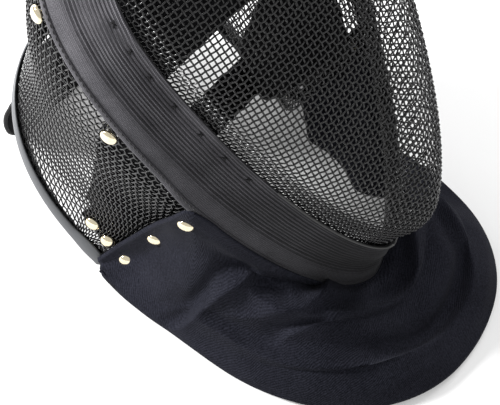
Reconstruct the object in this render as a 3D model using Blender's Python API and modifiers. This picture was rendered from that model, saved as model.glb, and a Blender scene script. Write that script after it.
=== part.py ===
"""Fencing mask: a wire-mesh cage on a padded bib, standing on the bib's hem.

The cage is described in its own frame, in millimetres: "side" to the wearer's
left, "up" along the rim of the rear opening, "depth" forward of that rim. The
whole cage leans back by LEAN. In the world the mask faces -Y, up is +Z, and the
origin is on the floor under the middle of the object.
"""
import math
from collections import namedtuple

import bmesh
import bpy
import numpy as np
from mathutils import Matrix, Vector

MM = 0.001

# ---------------------------------------------------------------- driving sizes
LEAN = math.radians(45.0)      # the rim leans this far back from upright
CAGE_FORWARD = 13.4            # origin of the cage's frame, ahead of the bib's rear corners
CAGE_HEIGHT = -10.8            # the same point, above the floor
CENTRE_FORWARD = 50.2          # middle of the object, ahead of the rear corners

MESH_THICK = 1.8               # crimped wire cloth, over its knuckles
BAND_THICK = 1.6               # webbing over the join of the two meshes
BIB_THICK = 3.6
GAP = 0.5                      # clear space between neighbouring pieces
BAND_OFFSET = MESH_THICK / 2 + GAP + BAND_THICK / 2
BIB_OFFSET = MESH_THICK / 2 + 3 * GAP + BIB_THICK / 2

# A row for each outline of the cage, from the rear opening forward to the face.
Outline = namedtuple("Outline", "name along depth tilt half_width widest_up crown_up "
                                "chin_up top_power low_power jaw_up")
OUTLINES = [
    Outline("rim",        0.00,   2.0, -0.15, 88.5,  42.0, 148.0, -120.0, 2.3, 2.0,  22.0),
    Outline("ear",        0.14,  20.0, -0.12, 83.0,  62.0, 158.0,  -60.0, 2.4, 2.0,   9.0),
    Outline("temple",     0.38,  60.0, -0.06, 85.5,  98.0, 176.0,  -60.0, 2.5, 1.6,  20.0),
    Outline("seam_back",  0.78, 118.0,  0.15, 93.0, 150.0, 238.0,  -62.0, 2.5, 1.6,  39.0),
    Outline("seam_front", 1.00, 148.0,  0.15, 76.0, 158.0, 228.0,  -41.0, 2.4, 1.45, 40.0),
]
BAND_BACK = 0.78               # along, of the webbing's two edges
BAND_FRONT = 1.00
SIDE_MESH_FRONT = 0.885        # the two meshes meet under the webbing
FACE_MESH_BACK = 0.895

# The face dome: a row for each ring, its size beside the seam, its rise, its shift to
# the wearer's left and how far its chin is tucked up. The dome stands higher towards
# the chin, and this worn one also towards that side.
Ring = namedtuple("Ring", "name spread rise shift tuck")
FACE_RINGS = [
    Ring("wall",     0.97, 10.0, 0.5, 2.0),
    Ring("shoulder", 0.98, 24.0, 4.0, 9.0),
    Ring("cheek",    0.88, 34.0, 7.0, 8.0),
    Ring("middle",   0.64, 41.0, 8.0, 3.0),
    Ring("nose",     0.33, 45.0, 8.0, 0.0),
    Ring("centre",   0.06, 46.5, 8.0, 0.0),
]
FACE_CENTRE_UP = 92.0
FACE_SKEW = 0.18
FACE_DROOP = 0.30
FACE_AHEAD = (0.0, -0.05, 1.0)

# Edging of the rear opening, a channel round the side mesh's edge.
TRIM_WALL = 1.4
TRIM_DEEP = 5.0
TRIM_RADIUS = 2.9              # of the channel's middle, round a soft core

# The bib: a row for each line of its profile, from the end of the overlap to the
# hem. run is the share of the way out to the hem, rise the height over the floor as
# a share of the first row's, at the front (folded) and at the side (smooth).
Fold = namedtuple("Fold", "name front_run front_rise side_run side_rise")
BIB_FOLDS = [
    Fold("overlap",   0.00, 1.00, 0.00, 1.00),
    Fold("roll_1",    0.14, 1.14, 0.20, 0.80),
    Fold("roll_1_out", 0.27, 0.98, 0.38, 0.58),
    Fold("crease_1",  0.31, 0.72, 0.48, 0.42),
    Fold("roll_2",    0.44, 0.78, 0.60, 0.30),
    Fold("roll_2_out", 0.62, 0.62, 0.72, 0.20),
    Fold("crease_2",  0.68, 0.28, 0.80, 0.14),
    Fold("hem_roll",  0.84, 0.36, 0.91, 0.10),
    Fold("hem",       1.00, 0.00, 1.00, 0.00),
]
HEM_EDGE = 2.2                 # the hem's upright edge, below the last row
TOP_EDGE_REAR = (24.0, 9.5)    # up and depth of the bib's rear upper corner
TOP_EDGE_FRONT_UP = 57.0       # where its top edge meets the webbing
BIB_BACK_OF_BAND = 0.764       # along, of its edge behind the webbing
EDGE_OVERLAP = 19.0            # bib over mesh, below the top edge
OVERLAP_STEPS = (0.0, 0.3, 0.65, 1.0)
HANG_INSET = 0.2               # the cloth below the webbing's end leans in by this slope
CHIN_ROLL = (5.0, 1.5)         # first roll under the chin: forward and up from the edge
HEM_REAR = (92.5, 4.0)         # side and forward of the hem's rear corner
HEM_HALF_WIDTH = 96.5
HEM_SIDE_BULGE = 2.5
HEM_TURN_FORWARD = 62.0        # hem point below the front end of the side panel
HEM_OVAL_FORWARD = 95.0        # the hem is an oval ahead of this line
HEM_NOSE = 113.0
HEM_POWER = {-1.0: 2.05, 1.0: 2.35}   # the oval's fullness on the two sides

# Crown pad: a row for each hoop across the cage, front to rear.
Hoop = namedtuple("Hoop", "name depth middle_up side_up half_width")
CROWN_HOOPS = [
    Hoop("brow_edge",   133.0, 119.0, 119.0, 78.0),
    Hoop("brow",        143.0, 140.0, 132.0, 76.0),
    Hoop("forehead",    142.0, 178.0, 152.0, 71.0),
    Hoop("crown_front", 118.0, 200.0, 166.0, 70.0),
    Hoop("crown",        72.0, 177.0, 147.0, 73.0),
    Hoop("crown_back",   24.0, 156.0, 118.0, 71.0),
]
CROWN_PAD_THICK = 9.0

# Rear tongue: a row for each line across it, from the crown down to the floor.
Line = namedtuple("Line", "name forward height half_width")
TONGUE_LINES = [
    Line("root",   -74.0, 108.0, 40.0),
    Line("bend",   -84.0,  92.0, 44.0),
    Line("way_out", -89.0, 69.0, 39.0),
    Line("spread", -98.0,  48.0, 55.0),
    Line("flat",  -103.0,  34.0, 60.0),
    Line("toe",   -105.0,  15.0, 58.0),
    Line("foot", -105.5,  -0.5, 46.0),
]
TONGUE_THICK = 9.0

# Cheek pads: a row for each line up the pad, rear to front.
Cheek = namedtuple("Cheek", "name depth low_up high_up")
CHEEK_LINES = [
    Cheek("rear",   14.0, 20.0,  60.0),
    Cheek("middle", 52.0, 27.0,  82.0),
    Cheek("rivet", 100.0, 40.0, 110.0),
    Cheek("front", 130.0, 46.0, 117.0),
]
CHEEK_THICK = 7.0
CHEEK_OFFSET = 5.6             # its outer face, inside the middle of the mesh

STRAP_UP = 38.5
STRAP_WIDTH = 26.0
STRAP_THICK = 1.6
STRAP_END_DEPTH = 26.0
STRAP_BEND_DEPTH = 9.0         # where each end leaves the mesh and turns across
STRAP_BEND = 3.4
STRAP_OFFSET = 2.4             # its ends, inside the middle of the mesh

# Rivets on each side; head_over is the head's seat over the middle of the mesh.
Rivet = namedtuple("Rivet", "name group up depth head_over washer_under")
RIVETS = [
    Rivet("bib_front",   "bib",   46.0, 113.0, 7.5, 2.4),
    Rivet("bib_middle",  "bib",   30.0,  57.5, 7.5, 1.8),
    Rivet("bib_rear",    "bib",   17.0,  17.5, 7.5, 1.8),
    Rivet("strap_upper", "strap", 46.5,  14.5, 1.8, 3.7),
    Rivet("strap_lower", "strap", 31.5,  14.0, 1.8, 3.7),
    Rivet("cheek",       "pad",  114.0, 125.0, 1.8, 1.8),
    Rivet("crown",       "pad",  187.0, 136.0, 1.6, 2.6),
]
HEAD_RADIUS = 5.0
HEAD_RISE = 2.7
SHANK_RADIUS = 1.5
HOLE_RADIUS = 2.1
HOLE_REACH = 7.5
WASHER_RADIUS = 4.4
WASHER_THICK = 0.8
RIVET_STEPS = 10
HOLE_STEPS = 8

Finish = namedtuple("Finish", "name colour roughness metallic")
BLACK_WIRE = Finish("black_wire", (0.02, 0.02, 0.022), 0.35, 0.6)
WEBBING = Finish("webbing", (0.06, 0.06, 0.062), 0.85, 0.0)
BIB_CLOTH = Finish("bib_cloth", (0.013, 0.014, 0.022), 0.95, 0.0)
PAD_CLOTH = Finish("pad_cloth", (0.02, 0.02, 0.024), 0.9, 0.0)
ELASTIC = Finish("elastic", (0.015, 0.015, 0.016), 0.8, 0.0)
VINYL = Finish("vinyl", (0.05, 0.05, 0.055), 0.3, 0.0)
BRASS = Finish("brass", (0.80, 0.66, 0.42), 0.2, 1.0)


# -------------------------------------------------------------------- the scene
def clear_scene():
    for old in list(bpy.data.objects):
        bpy.data.objects.remove(old, do_unlink=True)


def new_collection(name):
    collection = bpy.data.collections.new(name)
    bpy.context.scene.collection.children.link(collection)
    return collection


def material(finish):
    found = bpy.data.materials.get(finish.name)
    if found:
        return found
    made = bpy.data.materials.new(finish.name)
    made.use_nodes = True
    shader = made.node_tree.nodes["Principled BSDF"]
    shader.inputs["Base Color"].default_value = (*finish.colour, 1.0)
    shader.inputs["Roughness"].default_value = finish.roughness
    shader.inputs["Metallic"].default_value = finish.metallic
    made.diffuse_color = (*finish.colour, 1.0)
    return made


def new_object(name, mesh, collection, finish):
    obj = bpy.data.objects.new(name, mesh)
    collection.objects.link(obj)
    mesh.materials.append(material(finish))
    return obj


# ------------------------------------------------------------------ cage frames
def floor_to_world(point):
    """(side, forward, height) in millimetres to world metres."""
    side, forward, height = point
    return Vector((side * MM, (CENTRE_FORWARD - forward) * MM, height * MM))


def cage_to_floor(point):
    """(side, up, depth) to (side, forward, height), both in millimetres."""
    side, up, depth = point
    return np.array((side,
                     CAGE_FORWARD - up * math.sin(LEAN) + depth * math.cos(LEAN),
                     CAGE_HEIGHT + up * math.cos(LEAN) + depth * math.sin(LEAN)))


def cage_to_world(point):
    return floor_to_world(cage_to_floor(point))


def smooth_curve(knots, values, at):
    """Cubic through the rows of a table, with centred slopes."""
    knots = np.asarray(knots, float)
    values = np.asarray(values, float)
    slopes = np.gradient(values, knots, axis=0)
    i = int(np.clip(np.searchsorted(knots, at) - 1, 0, len(knots) - 2))
    span = knots[i + 1] - knots[i]
    s = (at - knots[i]) / span
    return ((2 * s**3 - 3 * s**2 + 1) * values[i] + (s**3 - 2 * s**2 + s) * span * slopes[i]
            + (3 * s**2 - 2 * s**3) * values[i + 1] + (s**3 - s**2) * span * slopes[i + 1])


def smooth_step(low, high, at):
    s = min(1.0, max(0.0, (at - low) / (high - low)))
    return s * s * (3 - 2 * s)


def outline_at(along):
    knots = [row.along for row in OUTLINES]
    values = [row[2:] for row in OUTLINES]
    return Outline("between", along, *smooth_curve(knots, values, along))


def outline_point(row, turn):
    """Point of an outline: turn is 0 at the crown, 1 at the jaw and 2 at the chin."""
    low_reach = row.widest_up - row.chin_up
    jaw_share = (row.widest_up - row.jaw_up) / low_reach
    jaw_angle = math.pi - math.acos(jaw_share ** (row.low_power / 2))
    reach = abs(turn)
    if reach <= 0.5:
        angle = math.pi * reach
    elif reach <= 1.0:
        angle = math.pi / 2 + (reach - 0.5) * 2 * (jaw_angle - math.pi / 2)
    else:
        angle = jaw_angle + (reach - 1.0) * (math.pi - jaw_angle)
    is_low = angle > math.pi / 2
    power = row.low_power if is_low else row.top_power
    tall = -low_reach if is_low else row.crown_up - row.widest_up
    side = row.half_width * max(0.0, math.sin(angle)) ** (2 / power)
    up = row.widest_up + tall * abs(math.cos(angle)) ** (2 / power)
    return np.array((math.copysign(side, turn), up, row.depth + row.tilt * up))


def cage_normal(turn, along):
    """Outward direction of the cage's wall."""
    step = 0.004
    row = outline_at(along)
    round_it = (outline_point(row, min(turn + step, 1.9999))
                - outline_point(row, max(turn - step, -1.9999)))
    forward = (outline_point(outline_at(min(1.0, along + step)), turn)
               - outline_point(outline_at(max(0.0, along - step)), turn))
    normal = np.cross(round_it, forward)
    outward = outline_point(row, turn) - np.array((0.0, 80.0, 60.0))
    if np.dot(normal, outward) < 0:
        normal = -normal
    return normal / np.linalg.norm(normal)


def cage_point(turn, along, offset=0.0):
    """Point of the cage's wall, moved outward by offset."""
    here = outline_point(outline_at(along), turn)
    return here + offset * cage_normal(turn, along) if offset else here


def even_turns(first, last, count, along):
    """Turns spaced evenly by length round an outline."""
    fine = np.linspace(first, last, 40 * count)
    row = outline_at(along)
    points = np.array([outline_point(row, t) for t in fine])
    steps = np.linalg.norm(np.diff(points, axis=0), axis=1)
    lengths = np.concatenate(([0.0], np.cumsum(steps)))
    return [float(t) for t in np.interp(np.linspace(0, lengths[-1], count + 1), lengths, fine)]


CAGE_TURNS = even_turns(-2.0, 2.0, 46, 0.89)[:-1]


def locate(up, depth, sign):
    """Turn and along of the cage's wall at this height and depth, on one side."""
    along = 0.5
    turn = 0.8
    for _ in range(40):
        row = outline_at(along)
        low, high = 0.1, 1.95
        for _ in range(26):
            turn = 0.5 * (low + high)
            if outline_point(row, turn)[1] > up:
                low = turn
            else:
                high = turn
        miss = depth - outline_point(row, turn)[2]
        along = min(0.999, max(0.0, along + miss / 165.0))
        if abs(miss) < 0.01:
            break
    return sign * turn, along


def wall_point(up, depth, sign, offset=0.0):
    turn, along = locate(up, depth, sign)
    return cage_point(turn, along, offset)


# --------------------------------------------------------------- mesh builders
def grid_mesh(name, rows, closed=False, cap=None):
    """Quads between equal rows of world points; each row is a ring when closed."""
    mesh = bpy.data.meshes.new(name)
    shape = bmesh.new()
    verts = [[shape.verts.new(p) for p in row] for row in rows]
    count = len(rows[0])
    last = count if closed else count - 1
    for lower, upper in zip(verts, verts[1:]):
        for i in range(last):
            j = (i + 1) % count
            shape.faces.new((lower[i], lower[j], upper[j], upper[i]))
    if cap is not None:
        centre = shape.verts.new(cap)
        for i in range(last):
            shape.faces.new((verts[-1][i], verts[-1][(i + 1) % count], centre))
    bmesh.ops.recalc_face_normals(shape, faces=shape.faces)
    shape.to_mesh(mesh)
    shape.free()
    mesh.shade_smooth()
    return mesh


def add_thickness(obj, thickness):
    shell = obj.modifiers.new("thickness", "SOLIDIFY")
    shell.thickness = thickness * MM
    shell.offset = 0.0
    shell.use_even_offset = True


def soften(obj, levels):
    soft = obj.modifiers.new("soften", "SUBSURF")
    soft.levels = levels
    soft.render_levels = levels


def cut_holes(obj, cutter):
    cut = obj.modifiers.new("holes", "BOOLEAN")
    cut.operation = "DIFFERENCE"
    cut.object = cutter


# ---------------------------------------------------------------------- pieces
def make_side_mesh(collection):
    turns = [-1.0] + [t for t in CAGE_TURNS if abs(t) < 0.985] + [1.0]
    alongs = [0.0, 0.07, 0.15, 0.26, 0.40, 0.55, 0.68, BAND_BACK, 0.84, SIDE_MESH_FRONT]
    rows = [[cage_to_world(cage_point(t, a)) for t in turns] for a in alongs]
    obj = new_object("side_mesh", grid_mesh("side_mesh", rows), collection, BLACK_WIRE)
    add_thickness(obj, MESH_THICK)
    return obj


def dome_point(turn, ring):
    """Point of the face, on a ring of the dome ahead of the seam."""
    seam = OUTLINES[-1]
    edge = outline_point(seam, turn)
    centre = np.array((0.0, FACE_CENTRE_UP, seam.depth + seam.tilt * FACE_CENTRE_UP))
    out = ring.spread * (edge - centre) / (seam.half_width, FACE_CENTRE_UP - seam.chin_up, 1.0)
    rise = ring.rise * (1 + FACE_SKEW * out[0] - FACE_DROOP * out[1])
    chin = min(1.0, max(0.0, -out[1])) ** 4
    moved = np.array((ring.shift, ring.tuck * chin, 0.0))
    return centre + ring.spread * (edge - centre) + rise * np.array(FACE_AHEAD) + moved


def make_face_mesh(collection):
    turns = CAGE_TURNS
    rows = [[cage_to_world(cage_point(t, a)) for t in turns]
            for a in (FACE_MESH_BACK, 0.95, BAND_FRONT)]
    rows += [[cage_to_world(dome_point(t, ring)) for t in turns] for ring in FACE_RINGS]
    top = cage_to_world(dome_point(0.0, FACE_RINGS[-1]._replace(spread=0.0)))
    obj = new_object("face_mesh", grid_mesh("face_mesh", rows, True, top), collection, BLACK_WIRE)
    add_thickness(obj, MESH_THICK)
    return obj


def make_seam_band(collection):
    alongs = (BAND_BACK, 0.84, FACE_MESH_BACK, 0.95, BAND_FRONT)
    rows = [[cage_to_world(cage_point(t, a, BAND_OFFSET)) for t in CAGE_TURNS] for a in alongs]
    obj = new_object("seam_band", grid_mesh("seam_band", rows, True), collection, WEBBING)
    add_thickness(obj, BAND_THICK)
    return obj


def trim_section(turn):
    """Points of the edging's channel, round the edge of the side mesh."""
    edge = cage_point(turn, 0.0)
    normal = cage_normal(turn, 0.0)
    inward = cage_point(turn, 0.05) - edge
    inward /= np.linalg.norm(inward)
    legs = [inward * TRIM_DEEP + normal * TRIM_RADIUS]
    for angle in np.radians((0.0, 60.0, 120.0, 180.0)):
        legs.append(TRIM_RADIUS * (normal * math.cos(angle) - inward * math.sin(angle)))
    legs.append(inward * TRIM_DEEP - normal * TRIM_RADIUS)
    return [cage_to_world(edge + leg) for leg in legs]


def make_rim_trim(collection):
    rows = [trim_section(t) for t in even_turns(-1.0, 1.0, 32, 0.0)]
    obj = new_object("rim_trim", grid_mesh("rim_trim", rows), collection, VINYL)
    add_thickness(obj, TRIM_WALL)
    return obj


def hem_side_point(share):
    """Hem of a side panel, from the rear corner to below its front end."""
    side = HEM_REAR[0] + share * (HEM_HALF_WIDTH - HEM_REAR[0])
    forward = HEM_REAR[1] + share * (HEM_TURN_FORWARD - HEM_REAR[1])
    return side + HEM_SIDE_BULGE * math.sin(math.pi * share), forward


def hem_front_point(share, sign):
    """Hem from below the side panel's front end to the nose of the oval."""
    angles = np.radians(np.linspace(0.0, 90.0, 91))
    power = 2 / HEM_POWER[sign]
    side = HEM_HALF_WIDTH * np.clip(np.cos(angles), 0.0, 1.0) ** power
    forward = HEM_OVAL_FORWARD + HEM_NOSE * np.sin(angles) ** power
    side = np.concatenate(([HEM_HALF_WIDTH], side))
    forward = np.concatenate(([HEM_TURN_FORWARD], forward))
    lengths = np.concatenate(([0.0], np.cumsum(np.hypot(np.diff(side), np.diff(forward)))))
    at = share * lengths[-1]
    return float(np.interp(at, lengths, side)), float(np.interp(at, lengths, forward))


def bib_column(overlap, hem, frontness):
    """Points down the bib in the floor's frame: overlap from the edge, folds and hem."""
    knots = np.linspace(0.0, 1.0, len(BIB_FOLDS))
    values = [(f.front_run * frontness + f.side_run * (1 - frontness),
               f.front_rise * frontness + f.side_rise * (1 - frontness)) for f in BIB_FOLDS]
    overlap_end = overlap[-1]
    column = list(overlap)
    for at in np.linspace(0.0, 1.0, 12)[1:]:
        run, rise = smooth_curve(knots, values, at)
        side = overlap_end[0] + run * (hem[0] - overlap_end[0])
        forward = overlap_end[1] + run * (hem[1] - overlap_end[1])
        column.append(np.array((side, forward, HEM_EDGE + rise * (overlap_end[2] - HEM_EDGE))))
    return column + [np.array((hem[0], hem[1], 0.0))]


def bib_half(sign):
    """Columns of one half of the bib, from its rear corner to the chin."""
    side_count, front_count = 6, 12
    front_depth = OUTLINES[3].depth + OUTLINES[3].tilt * TOP_EDGE_FRONT_UP - 1.0
    columns = []
    for i in range(side_count + 1):
        share = i / side_count
        up = TOP_EDGE_REAR[0] + share * (TOP_EDGE_FRONT_UP - TOP_EDGE_REAR[0])
        depth = TOP_EDGE_REAR[1] + share * (front_depth - TOP_EDGE_REAR[1])
        edge = cage_to_floor(wall_point(up, depth, sign, BIB_OFFSET))
        drop = min(EDGE_OVERLAP, 0.85 * edge[2])
        overlap = [cage_to_floor(wall_point(up - s * drop, depth - s * share * drop, sign,
                                            BIB_OFFSET)) for s in OVERLAP_STEPS]
        side, forward = hem_side_point(share)
        columns.append(bib_column(overlap, (sign * side, forward), 0.0))
    first_turn = abs(locate(TOP_EDGE_FRONT_UP, front_depth, sign)[0])
    turns = even_turns(first_turn, 2.0, front_count, BIB_BACK_OF_BAND)
    points = [cage_point(sign * min(t, 1.9999), BIB_BACK_OF_BAND, BIB_OFFSET) for t in turns]
    for i in range(1, front_count + 1):
        share = i / front_count
        here = points[i]
        hang = here - EDGE_OVERLAP * np.array((sign * HANG_INSET, 1.0, 1.0))
        edge = cage_to_floor(here)
        frontness = smooth_step(0.1, 0.75, share)
        roll = edge + np.array((0.0, CHIN_ROLL[0], CHIN_ROLL[1]))
        overlap_end = frontness * roll + (1 - frontness) * cage_to_floor(hang)
        side, forward = hem_front_point(share, sign)
        overlap = [edge + s * (overlap_end - edge) for s in OVERLAP_STEPS]
        columns.append(bib_column(overlap, (sign * side, forward), frontness))
    return columns


def make_bib(collection):
    near, far = bib_half(-1.0), bib_half(1.0)
    columns = near[:-1] + [0.5 * (np.array(near[-1]) + np.array(far[-1]))] + far[-2::-1]
    rows = [[floor_to_world(p) for p in column] for column in columns]
    obj = new_object("bib", grid_mesh("bib", rows), collection, BIB_CLOTH)
    add_thickness(obj, BIB_THICK)
    return obj


def make_pad(name, rows, thickness, collection, finish):
    """Soft pad: a coarse sheet, thickened and rounded."""
    obj = new_object(name, grid_mesh(name, rows), collection, finish)
    add_thickness(obj, thickness)
    soften(obj, 1)
    return obj


def make_crown_pad(collection):
    shares = (-1.0, -0.92, -0.5, 0.0, 0.5, 0.92, 1.0)
    rows = [[cage_to_world((h.half_width * s, h.middle_up + (h.side_up - h.middle_up) * s * s,
                            h.depth)) for s in shares] for h in CROWN_HOOPS]
    return make_pad("crown_pad", rows, CROWN_PAD_THICK, collection, PAD_CLOTH)


def make_cheek_pad(name, sign, collection):
    middle = -(CHEEK_OFFSET + CHEEK_THICK / 2)
    rows = [[cage_to_world(wall_point(line.low_up + s * (line.high_up - line.low_up),
                                      line.depth, sign, middle)) for s in (0.0, 0.1, 0.5, 0.9, 1.0)]
            for line in CHEEK_LINES]
    return make_pad(name, rows, CHEEK_THICK, collection, PAD_CLOTH)


def make_tongue(collection):
    shares = (-1.0, -0.93, -0.5, 0.0, 0.5, 0.93, 1.0)
    rows = [[floor_to_world((line.half_width * s, line.forward, line.height)) for s in shares]
            for line in TONGUE_LINES]
    return make_pad("tongue", rows, TONGUE_THICK, collection, PAD_CLOTH)


def strap_path(up, sign):
    """One end of the strap: flat inside the mesh, then bent across the opening."""
    path = [wall_point(up, depth, sign, -STRAP_OFFSET)
            for depth in (STRAP_END_DEPTH, 0.5 * (STRAP_END_DEPTH + STRAP_BEND_DEPTH),
                          STRAP_BEND_DEPTH)]
    start = path[-1]
    for angle in np.radians((30.0, 60.0, 90.0)):
        path.append(start + STRAP_BEND * np.array((-sign * (1 - math.cos(angle)), 0.0,
                                                   -math.sin(angle))))
    return path


def make_back_strap(collection):
    rows = []
    for share in (-0.5, 0.0, 0.5):
        up = STRAP_UP + share * STRAP_WIDTH
        near, far = strap_path(up, -1.0), strap_path(up, 1.0)
        span = [near[-1] + s * (far[-1] - near[-1]) for s in (0.25, 0.5, 0.75)]
        rows.append([cage_to_world(p) for p in near + span + far[::-1]])
    obj = new_object("back_strap", grid_mesh("back_strap", rows), collection, ELASTIC)
    add_thickness(obj, STRAP_THICK)
    return obj


# --------------------------------------------------------------------- rivets
def rivet_matrix(rivet, sign):
    """Place on the wall's middle, with +Z along the outward direction."""
    turn, along = locate(rivet.up, rivet.depth, sign)
    here = cage_point(turn, along)
    origin = cage_to_world(here)
    outward = (cage_to_world(here + cage_normal(turn, along)) - origin).normalized()
    return Matrix.Translation(origin) @ outward.to_track_quat("Z", "Y").to_matrix().to_4x4()


def rivet_profile(rivet):
    """Radius and height down the outer side: domed head, shank and washer."""
    seat, under = rivet.head_over, -rivet.washer_under
    dome = [(HEAD_RADIUS * math.sin(a), seat + HEAD_RISE * math.cos(a))
            for a in np.radians((0.0, 35.0, 65.0))]
    return dome + [(HEAD_RADIUS, seat), (SHANK_RADIUS, seat), (SHANK_RADIUS, under),
                   (WASHER_RADIUS, under), (WASHER_RADIUS, under - WASHER_THICK),
                   (0.0, under - WASHER_THICK)]


def make_rivet(rivet, sign, side_name, collection):
    name = "rivet_" + rivet.name + "_" + side_name
    mesh = bpy.data.meshes.new(name)
    points = [(r * MM, 0.0, h * MM) for r, h in rivet_profile(rivet)]
    mesh.from_pydata(points, [(i, i + 1) for i in range(len(points) - 1)], [])
    obj = new_object(name, mesh, collection, BRASS)
    obj.matrix_world = rivet_matrix(rivet, sign)
    turned = obj.modifiers.new("turned", "SCREW")
    turned.steps = RIVET_STEPS
    turned.render_steps = RIVET_STEPS
    turned.use_merge_vertices = True
    turned.merge_threshold = 0.00001
    return obj


def make_hole_cutter(group, collection):
    """Cylinders through the layers, one at each rivet of the group."""
    name = "holes_" + group
    mesh = bpy.data.meshes.new(name)
    shape = bmesh.new()
    for rivet in RIVETS:
        if rivet.group != group:
            continue
        for sign in (-1.0, 1.0):
            bmesh.ops.create_cone(shape, cap_ends=True, segments=HOLE_STEPS, radius1=HOLE_RADIUS * MM,
                                  radius2=HOLE_RADIUS * MM, depth=2 * HOLE_REACH * MM,
                                  matrix=rivet_matrix(rivet, sign))
    shape.to_mesh(mesh)
    shape.free()
    obj = bpy.data.objects.new(name, mesh)
    collection.objects.link(obj)
    obj.hide_render = True
    obj.display_type = "WIRE"
    return obj


def build():
    clear_scene()
    mask = new_collection("fencing_mask")
    cutters = new_collection("cutters")
    holes = {group: make_hole_cutter(group, cutters) for group in ("bib", "strap", "pad")}

    side_mesh = make_side_mesh(mask)
    for cutter in holes.values():
        cut_holes(side_mesh, cutter)
    make_face_mesh(mask)
    make_seam_band(mask)
    make_rim_trim(mask)
    cut_holes(make_bib(mask), holes["bib"])
    make_crown_pad(mask)
    make_tongue(mask)
    cut_holes(make_back_strap(mask), holes["strap"])
    for side_name, sign in (("right", -1.0), ("left", 1.0)):
        make_cheek_pad("cheek_pad_" + side_name, sign, mask)
        for rivet in RIVETS:
            make_rivet(rivet, sign, side_name, mask)


build()
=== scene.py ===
"""Looks of a fencing mask: woven wire, webbing, padded bib, lining and rivets.

Shapes are worked out in the mask's own frame, in millimetres: side to the wearer's
left, up along the rim of the rear opening, depth forward of that rim. The world is
in metres, and the mask faces -Y.
"""
import math
from itertools import product

import bpy
import numpy as np
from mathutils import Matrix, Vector

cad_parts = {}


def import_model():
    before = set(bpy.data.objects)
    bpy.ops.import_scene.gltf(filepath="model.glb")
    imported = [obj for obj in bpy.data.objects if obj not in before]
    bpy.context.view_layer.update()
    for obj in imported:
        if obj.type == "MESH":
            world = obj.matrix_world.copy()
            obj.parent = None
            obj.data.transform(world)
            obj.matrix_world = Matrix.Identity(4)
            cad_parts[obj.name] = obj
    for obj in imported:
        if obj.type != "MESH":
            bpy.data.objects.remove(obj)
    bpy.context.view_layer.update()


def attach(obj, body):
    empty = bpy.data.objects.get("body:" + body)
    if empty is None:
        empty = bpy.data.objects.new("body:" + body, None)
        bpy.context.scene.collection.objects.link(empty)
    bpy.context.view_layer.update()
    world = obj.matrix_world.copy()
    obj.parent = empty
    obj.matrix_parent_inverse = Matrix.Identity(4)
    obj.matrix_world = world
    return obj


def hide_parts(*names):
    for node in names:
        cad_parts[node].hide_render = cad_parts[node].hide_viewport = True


MM = 0.001

# -------- the frame's sizes
LEAN = math.radians(45.0)
CAGE_FORWARD = 13.4
CAGE_HEIGHT = -10.8
CENTRE_FORWARD = 50.2

# Columns: along, then depth, tilt, half width, widest up, crown up, chin up,
# top power, low power and jaw up of each outline, from the rear opening forward.
OUTLINES = np.array([
    (0.00,   2.0, -0.15, 88.5,  42.0, 148.0, -120.0, 2.3, 2.0,  22.0),
    (0.14,  20.0, -0.12, 83.0,  62.0, 158.0,  -60.0, 2.4, 2.0,   9.0),
    (0.38,  60.0, -0.06, 85.5,  98.0, 176.0,  -60.0, 2.5, 1.6,  20.0),
    (0.78, 118.0,  0.15, 93.0, 150.0, 238.0,  -62.0, 2.5, 1.6,  39.0),
    (1.00, 148.0,  0.15, 76.0, 158.0, 228.0,  -41.0, 2.4, 1.45, 40.0),
])
BAND_BACK = 0.78
BAND_FRONT = 1.00
SIDE_MESH_FRONT = 0.885
FACE_MESH_BACK = 0.895
BAND_OFFSET = 2.2
BIB_OFFSET = 4.2
CAGE_MIDDLE = np.array((0.0, 80.0, 60.0))
SIDES = (("right", -1.0), ("left", 1.0))
CHIN = 1.9999  # turn at the chin, just short of where both sides meet

# spread, rise, shift and chin tuck of each ring of the face dome
FACE_RINGS = ((0.97, 10.0, 0.5, 2.0), (0.98, 24.0, 4.0, 9.0), (0.88, 34.0, 7.0, 8.0),
              (0.64, 41.0, 8.0, 3.0), (0.33, 45.0, 8.0, 0.0), (0.06, 46.5, 8.0, 0.0),
              (0.0, 46.5, 8.0, 0.0))
FACE_CENTRE_UP = 92.0
FACE_SKEW = 0.18
FACE_DROOP = 0.30
FACE_AHEAD = np.array((0.0, -0.05, 1.0))


# -------- cage surface
def cage_to_floor(points):
    """Points of the mask's frame to side, forward and height over the floor."""
    side, up, depth = np.moveaxis(np.asarray(points, float), -1, 0)
    forward = CAGE_FORWARD - up * math.sin(LEAN) + depth * math.cos(LEAN)
    height = CAGE_HEIGHT + up * math.cos(LEAN) + depth * math.sin(LEAN)
    return np.stack((side, forward, height), -1)


def floor_to_world(points):
    return (np.asarray(points, float) * (1.0, -1.0, 1.0) + (0.0, CENTRE_FORWARD, 0.0)) * MM


def cage_to_world(points):
    return floor_to_world(cage_to_floor(points))


def smooth_curve(knots, values, at):
    """Cubic through the rows of a table, with centred slopes, at one or many places."""
    knots, values, at = (np.asarray(given, float) for given in (knots, values, at))
    slopes = np.gradient(values, knots, axis=0)
    i = np.clip(np.searchsorted(knots, at) - 1, 0, len(knots) - 2)
    span = knots[i + 1] - knots[i]
    s = (at - knots[i]) / span
    s, span = (a.reshape(a.shape + (1,) * (values.ndim - 1)) for a in (s, span))
    return ((2 * s**3 - 3 * s**2 + 1) * values[i] + (s**3 - 2 * s**2 + s) * span * slopes[i]
            + (3 * s**2 - 2 * s**3) * values[i + 1] + (s**3 - s**2) * span * slopes[i + 1])


def unit(vectors):
    return vectors / np.maximum(np.linalg.norm(vectors, axis=-1, keepdims=True), 1e-9)


def smooth_step(low, high, at):
    s = np.clip((np.asarray(at, float) - low) / (high - low), 0.0, 1.0)
    return s * s * (3 - 2 * s)


def plateau(at, first, full, last_full, last):
    return smooth_step(first, full, at) * smooth_step(last, last_full, at)


def bell(away, width):
    return np.exp(-(away / width) ** 2)


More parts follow.
